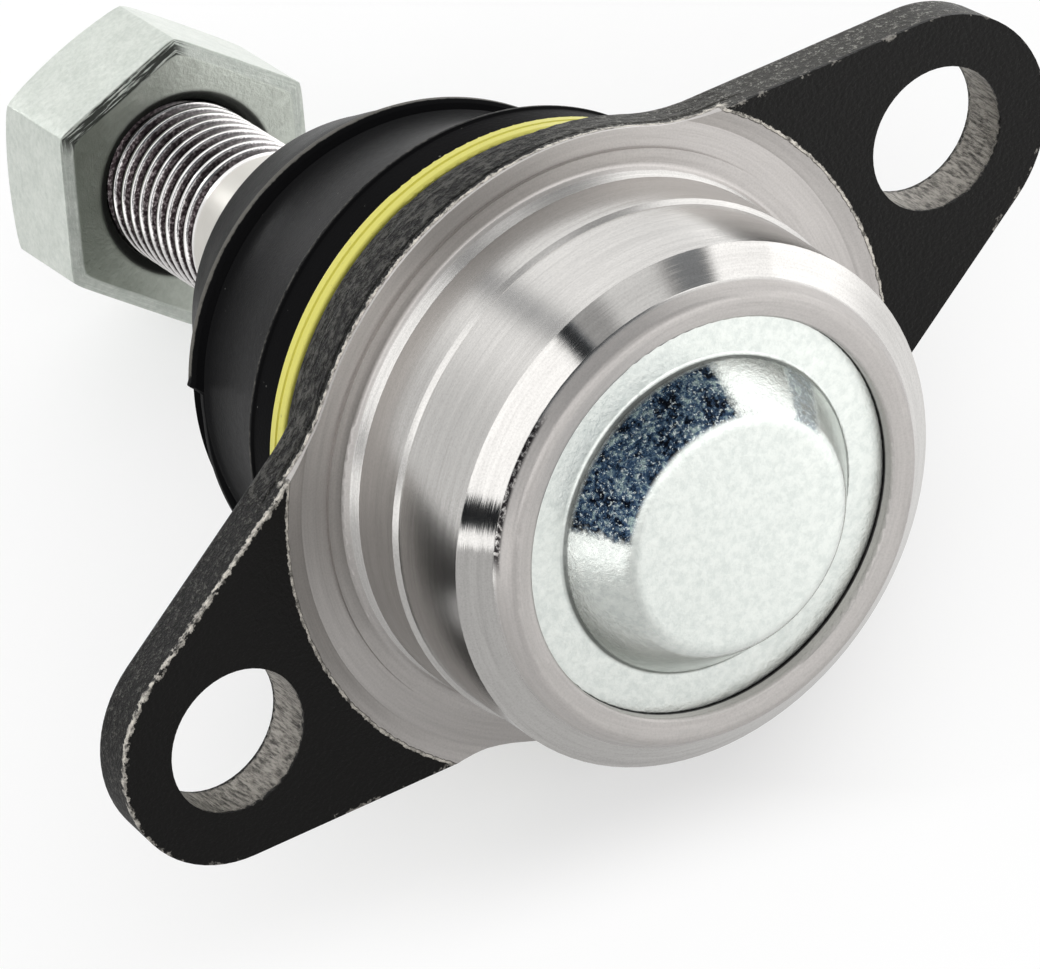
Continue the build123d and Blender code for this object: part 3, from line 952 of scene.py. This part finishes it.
@dataclass
class LockNut:
    """Hexagon nut with a bevelled near face, cone-cut far corners and a collar for its insert."""

    line: StudLine
    across_flats: float = 19.0
    height: float = 10.4
    station: float = 67.8
    rest_turn: float = -3.0
    bevel_width: float = 0.95
    bevel_height: float = 0.25
    face_share: float = 0.95
    chamfer_angle: float = 30.0
    bore_radius: float = 6.05
    sink_radius: float = 6.8
    collar_radius: float = 7.6
    collar_height: float = 3.0
    insert_pocket_radius: float = 7.05
    insert_pocket_depth: float = 2.4
    lip_radius: float = 6.6
    corner_radius: float = 10.95
    near_corner_radius: float = 9.75
    sharpness: float = 60.0
    edge_width: float = 0.18
    edge_angle: float = 12.0
    steps_per_flat: int = 24

    def hexagon(self, angles: np.ndarray, inset: float, corner: float) -> np.ndarray:
        """Radius of a hexagon with rounded corners at each angle.

        Args:
            angles: The angles.
            inset: How far its flats lie inside the nut's flats.
            corner: Radius that its corners don't reach.

        Returns:
            The radii.
        """
        sixth = math.pi / 3
        sides = (self.across_flats / 2 - inset) / np.cos((angles % sixth) - sixth / 2)
        return (sides ** -self.sharpness + corner ** -self.sharpness) ** (-1 / self.sharpness)

    def build(self) -> None:
        """Make the nut in place of its CAD node."""
        angles = np.linspace(0, 2 * math.pi, 6 * self.steps_per_flat, endpoint=False)
        sides = self.hexagon(angles, 0.0, self.corner_radius)
        near = self.hexagon(angles, self.bevel_width, self.near_corner_radius)
        face = self.face_share * self.across_flats / 2
        drop = np.maximum(sides - face, 0) * math.tan(math.radians(self.chamfer_angle))
        pocket = self.height + self.insert_pocket_depth
        top = self.height + self.collar_height
        collar = rounded([
            (self.collar_radius, self.height, 0), (self.collar_radius, top, 0.8), (self.lip_radius, top, 0),
        ])
        sink = self.sink_radius - self.bore_radius
        rings = [(self.bore_radius, sink), (self.sink_radius, 0.0), (near - 0.1, 0.0), (near, 0.02)]
        rings += [(sides, self.bevel_height), (sides, self.height - drop), (face, self.height), *collar]
        rings += [(self.lip_radius, pocket), (self.insert_pocket_radius, pocket)]
        rings += [(self.insert_pocket_radius, self.height), (self.bore_radius, self.height)]
        blank = 0 * angles
        grid = np.array([
            np.stack([(r + blank) * np.cos(angles), (r + blank) * np.sin(angles), h + blank], axis=1)
            for r, h in rings
        ])
        piece = RingMesh(grid, looped=True).build("locking_nut", 30.0)
        edges = piece.modifiers.new("soft_edges", "BEVEL")
        edges.width = self.edge_width * MM
        edges.segments = 3
        edges.limit_method = "ANGLE"
        edges.angle_limit = math.radians(self.edge_angle)
        turn = Matrix.Rotation(math.radians(self.rest_turn), 4, "Z")
        piece.matrix_world = self.line.frame() @ Matrix.Translation((0, 0, self.station * MM)) @ turn
        dress(piece, NutZinc())
        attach(piece, "nut")
        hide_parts("hex_nut")
        log.info("nut built")


@dataclass
class DustBoot:
    """Rubber bellows, bent between the housing and the stud, in two pieces that meet in a crease."""

    line: StudLine
    bend_start: float = 13.6
    bend_end: float = 27.6
    end_wall: float = 37.1
    drift: float = 0.85
    shoulder_radius: float = 19.4
    ridge_radius: float = 17.8
    crease: float = 26.72
    torn_start: float = 26.9
    torn_end: float = 28.7
    torn_angle: float = 212.0
    torn_fade: float = 42.0
    torn_depth: float = 0.85
    flap_height: float = 0.42
    flap_fade: float = 3.0
    around: int = 288

    def outline(self) -> np.ndarray:
        """(station, radius) points of the outer skin, housing end first."""
        top, ridge = self.shoulder_radius, self.ridge_radius
        bead = rounded([
            (10.0, 18.35, 0), (11.98, 18.35, 0.1), (12.05, top - 0.15, 0.15), (14.45, top - 0.1, 0.1),
            (14.62, top + 0.05, 0.1), (14.95, top + 0.02, 0.15), (15.15, top - 0.45, 0.1),
        ])
        valley = flowing([
            (15.15, top - 0.45), (16.1, top - 0.95), (16.5, top - 1.22), (18.2, 17.65), (20.6, 17.1),
            (23.2, 16.85), (25.4, 16.95), (26.45, 17.2),
        ])
        band = rounded([
            (26.45, 17.2, 0), (self.crease, 16.85, 0.05), (27.0, ridge - 0.25, 0.1), (27.3, ridge, 0.25),
            (27.85, ridge - 0.02, 0.3), (28.45, ridge - 0.42, 0.2), (28.75, 17.02, 0.1),
        ], 4)
        tail = flowing([
            (28.75, 17.02), (30.0, 16.5), (32.0, 15.85), (34.0, 15.05), (36.0, 14.2), (38.0, 13.42),
        ])
        end = rounded([(38.0, 13.42, 0), (39.3, 12.95, 0.6), (39.3, 12.0, 0)])
        return np.vstack([bead, valley[1:], band[1:], tail[1:], end[1:]])

    def worn(self, station: np.ndarray, angle: np.ndarray) -> np.ndarray:
        """How far the rubber is rubbed light, at stations and angles."""
        shoulder = np.exp(-(((station - 14.8) / 0.16) ** 2)) * 0.8
        ridge = np.exp(-(((station - 27.75) / 0.5) ** 4))
        intact = np.clip((angle - math.radians(self.torn_angle)) / 0.02, 0, 1)
        flash = 0.7 * np.exp(-(((station - 28.6) / 0.1) ** 2))
        return shoulder + ridge * intact + flash * (1 - intact)

    def torn(self, angle: np.ndarray) -> np.ndarray:
        """How far the ridge stands out where it is torn, by angle, in millimetres."""
        past = math.radians(self.torn_angle) - angle
        flap = self.flap_height * np.clip(1 - past / math.radians(self.flap_fade), 0, 1)
        missing = self.torn_depth * np.clip(1.3 - 1.3 * past / math.radians(self.torn_fade), 0, 1)
        missing = missing * np.clip(past / math.radians(self.flap_fade), 0, 1)
        return np.where(past > 0, flap - missing, 0.0)

    def inner_radius(self, station: float) -> float:
        """Radius of the inner skin at a station."""
        stations = [10.0, 12.4, 12.5, 13.7, 17.65, 21.1, 24.0, 26.2, 27.6, 31.0, 34.0, 37.1]
        radii = [17.0, 17.0, 18.0, 18.0, 16.3, 15.6, 15.8, 16.2, 16.3, 15.5, 14.2, 11.6]
        return float(np.interp(station, stations, radii))

    @staticmethod
    def ease(station: float, start: float, end: float) -> float:
        """Smooth rise from 0 at a start station to 1 at an end station."""
        share = min(max((station - start) / (end - start), 0.0), 1.0)
        return share * share * (3 - 2 * share)

    def ring(self, station: float, radius: float, outside: bool) -> np.ndarray:
        """One section, square to the bent middle line.

        Args:
            station: Distance behind the ball's centre.
            radius: Radius of the section.
            outside: Whether it lies on the outer skin, which carries the torn flash.

        Returns:
            The section's points.
        """
        angles = np.linspace(0, 2 * math.pi, self.around, endpoint=False)
        if outside and self.torn_start < station < self.torn_end:
            radius = radius + self.torn(angles)
        lean = self.ease(station, self.bend_start, self.bend_end)
        drift = self.drift * (lean - self.ease(station, self.bend_end, self.end_wall))
        level, ones = 0 * angles + station, 0 * angles + 1
        flat = np.stack([radius * np.cos(angles) - drift, radius * np.sin(angles), level, ones])
        return (np.array(self.line.frame(lean)) @ flat)[:3].T

    def part(self, name: str, outer: np.ndarray, inner: list[tuple[float, float]]) -> bpy.types.Object:
        """Closed sleeve between an outer and an inner skin."""
        rings = [self.ring(s, r, True) for s, r in outer] + [self.ring(s, r, False) for s, r in inner]
        angles = np.linspace(0, 2 * math.pi, self.around, endpoint=False)
        worn = np.vstack([self.worn(outer[:, :1], angles[None]), np.zeros((len(inner), self.around))])
        piece = RingMesh(np.array(rings), looped=True).build(name, 50.0, {"wear": worn})
        dress(piece, BootRubber())
        return piece

    def build(self) -> None:
        """Make the two parts in place of the CAD boot."""
        line = self.outline()
        split = int(np.argmin(np.abs(line[:, 0] - self.crease)))
        wide_stations = (self.crease, 24.0, 21.4, 19.0, 17.65, 13.7, 12.5, 12.4, 10.0)
        wide_inner = [(s, self.inner_radius(s)) for s in wide_stations]
        narrow_inner = [(39.3, 8.72), (37.1, 8.72), (37.1, 11.6)]
        narrow_inner += [(s, self.inner_radius(s)) for s in (34.0, 31.0, 28.2, self.crease)]
        front = self.part("dust_boot_wide", line[:split + 1], wide_inner)
        rear = self.part("dust_boot_narrow", line[split:], narrow_inner)
        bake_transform(front)
        self.line.at(26.9)
        self.line.at(37.4)
        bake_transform(rear)
        for piece in (front, rear):
            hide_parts("dust_boot")
        log.info("dust boot built")


# ---- Studio ----
@dataclass(frozen=True)
class Panel:
    """A brighter or darker patch of the studio, seen from the object, in degrees."""

    azimuth: float
    elevation: float
    half_width: float
    half_height: float
    level: float
    soft: float = 3.0


@dataclass
class Studio:
    """Camera, floor and the soft studio round the object."""

    azimuth: float = -16.862
    elevation: float = 37.927
    roll: float = 30.188
    aim: tuple[float, float, float] = (-5.92, 2.56, 0.941)
    distance: float = 1110.82
    focal_pixels: float = 16500.0
    frame_width: float = 1040.0
    sensor: float = 36.0
    clip: tuple[float, float] = (0.05, 20.0)
    floor_drop: float = -23.2
    floor_half: float = 3.0
    floor_paper: Colour = (0.95, 0.95, 0.95)
    floor_gleam: float = 0.63
    shaded_glow: float = 0.47
    mirrored_glow: float = 0.92
    soft_light: float = 0.55
    fill_light: float = 0.55
    dark: Colour = (0.9, 0.98, 1.08)
    front_levels: tuple[tuple[float, float], ...] = (
        (-90, 0.9), (-8, 0.9), (-2, 1.6), (24, 1.7), (50, 1.65), (58, 0.15), (90, 0.04),
    )
    back_levels: tuple[tuple[float, float], ...] = (
        (-90, 0.9), (-8, 0.9), (-2, 1.1), (36, 1.3), (60, 1.5), (90, 1.5),
    )
    level_top: float = 2.0
    panels: tuple[Panel, ...] = (
        Panel(38, 36, 26, 18, 0.5, 4),
        Panel(32, 36, 8, 14, 1.0, 3),
        Panel(47, 18, 5, 5, 0.32, 2),
        Panel(9, 43, 2.6, 14, 0.04, 1.2),
        Panel(-68, 38, 12, 20, 0.35, 3),
        Panel(-71, 25, 6, 8, 0.04, 2),
        Panel(-53.5, 16, 4, 5.5, 0.04, 1.5),
        Panel(-38, 7.2, 5, 3.4, 0.02, 1),
        Panel(180, 6, 2.0, 5, 14.0, 3.5),
        Panel(70, 46, 10, 13, 0.1, 3),
        Panel(172, 42, 4, 10, 0.3, 1.5),
        Panel(-150, 22, 18, 17, 0.85, 7),
    )

    def place_camera(self) -> None:
        """Put the camera in place."""
        back = towards(self.azimuth, self.elevation)
        right = Vector((0, 0, 1)).cross(back).normalized()
        up = back.cross(right)
        roll = math.radians(self.roll)
        right, up = (
            right * math.cos(roll) - up * math.sin(roll),
            up * math.cos(roll) + right * math.sin(roll),
        )
        lens = bpy.data.cameras.new("camera")
        lens.sensor_width = self.sensor
        lens.lens = self.focal_pixels / self.frame_width * self.sensor
        lens.clip_start, lens.clip_end = self.clip
        camera = put("camera", lens)
        turn = Matrix((right, up, back)).transposed().to_4x4()
        spot = Vector(self.aim) * MM + back * self.distance * MM
        camera.matrix_world = Matrix.Translation(spot) @ turn
        bpy.context.scene.camera = camera

    def lay_floor(self) -> None:
        """Make the pale floor, which looks white and keeps a faint shadow; painted light fades that shadow in
        places, and its brightness in reflections is painted by place.
        """
        mesh = bpy.data.meshes.new("floor")
        signs = ((-1, -1), (1, -1), (1, 1), (-1, 1))
        corners = [(self.floor_half * a, self.floor_half * b, self.floor_drop * MM) for a, b in signs]
        mesh.from_pydata(corners, [], [(0, 1, 2, 3)])
        floor = put("floor", mesh)
        paper = bpy.data.materials.new("studio_paper")
        sheet = Sheet(paper)
        lit = sheet.node("BsdfDiffuse", {"Color": (*self.floor_paper, 1)})
        camera_ray, glossy_ray = sheet.ray(Ray.CAMERA), sheet.ray(Ray.GLOSSY)
        across, along, _ = sheet.split(sheet.place())
        # painted reflection: the floor's level in reflections is darkest under and left of the object,
        # brighter towards +X, in front and far behind
        ahead = sheet.step(along, -10.0, -30.0) * sheet.step(across, -30.0, 0.0)
        gleam = sheet.step(across, -20.0, 45.0) * 0.55 + sheet.step(across, 50.0, 120.0) * 0.4
        gleam = gleam + ahead * 0.35
        gleam = gleam + sheet.step(along, 50.0, 95.0) * 0.28 + self.floor_gleam
        level = sheet.lerp(glossy_ray, 1.0, gleam)
        grey = sheet.join(level, level, level)
        glow = sheet.node("Emission", {"Color": grey, "Strength": 1.0})
        # painted light: a larger glow share fades the shadow towards +X and on the side toward the camera
        clear = sheet.step(across - along, -5.0, 30.0)
        near = sheet.step(across * 0.6 + along * 0.8, -7.0, -20.0)
        pale = sheet.lerp(clear, self.shaded_glow, 0.86) | sheet.lerp(near, self.shaded_glow, 0.93)
        share = (camera_ray * pale) | (glossy_ray * self.mirrored_glow)
        surface = sheet.node("MixShader", {0: share, 1: lit, 2: glow})
        sheet.node("OutputMaterial", {"Surface": surface})
        mesh.materials.append(paper)

    def light_world(self) -> None:
        """Paint the studio's levels and patches on the world."""
        world = bpy.data.worlds.new("studio")
        bpy.context.scene.world = world
        sheet = Sheet(world)
        direction = sheet.node("TexCoord", {}, "Generated")
        _, along, up = sheet.split(direction)
        elevation = sheet.maths("ARCSINE", up) * (1 / math.pi) + 0.5
        front, back = (
            sheet.node("ValToRGB", {"Fac": elevation}, stops=self._stops(levels))
            for levels in (self.front_levels, self.back_levels)
        )
        level = sheet.lerp(sheet.step(along, -0.05, 0.25), front, back) * self.level_top
        for panel in self.panels:
            level = sheet.lerp(self._panel_mask(sheet, direction, panel), level, panel.level)
        camera_ray, diffuse_ray = sheet.ray(Ray.CAMERA), sheet.ray(Ray.DIFFUSE)
        level = sheet.lerp(diffuse_ray, level, level * self.soft_light + self.fill_light)
        strength = sheet.lerp(camera_ray, level, 1.0)
        dim = sheet.step(level, 0.5, 0.1) * (1 - camera_ray)
        colour = sheet.mix(dim, (1.0, 1.0, 1.0), self.dark)
        glow = sheet.node("Background", {"Color": colour, "Strength": strength})
        sheet.node("OutputWorld", {"Surface": glow})

    def _stops(self, levels: Sequence[tuple[float, float]]) -> list[tuple[float, Colour]]:
        """Ramp stops from (elevation, level) pairs."""
        return [(e / 180 + 0.5, (v / self.level_top,) * 3) for e, v in levels]

    @staticmethod
    def _panel_mask(sheet: Sheet, direction: Flow, panel: Panel) -> Flow:
        """Mask of one panel over the directions.

        Args:
            sheet: The world's sheet.
            direction: Direction from the object.
            panel: The panel.

        Returns:
            1 within the panel, 0 outside it.
        """
        middle = towards(panel.azimuth, panel.elevation)
        side = Vector((0, 0, 1)).cross(middle).normalized()
        top = middle.cross(side)
        parts = [
            sheet.node("VectorMath", {0: direction, 1: axis}, "Value", operation="DOT_PRODUCT")
            for axis in (side, top, middle)
        ]
        across = abs(sheet.maths("ARCTAN2", parts[0], parts[2])) * math.degrees(1)
        along = abs(sheet.maths("ARCTAN2", parts[1], parts[2])) * math.degrees(1)
        width = sheet.below(across, panel.half_width, panel.soft)
        return width * sheet.below(along, panel.half_height, panel.soft)

    def build(self) -> None:
        """Set up the whole studio."""
        self.place_camera()
        self.lay_floor()
        self.light_world()
        bpy.context.scene.view_settings.view_transform = "Standard"
        log.info("studio built")


def main() -> None:
    """Build every piece in order."""
    logging.basicConfig(level=logging.INFO, format="%(name)s: %(message)s")
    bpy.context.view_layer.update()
    line = StudLine()
    CarriedNodes().dress()
    BallStud(line).build()
    LockNut(line).build()
    DustBoot(line).build()
    Studio().build()


if __name__ == "__main__":
    main()
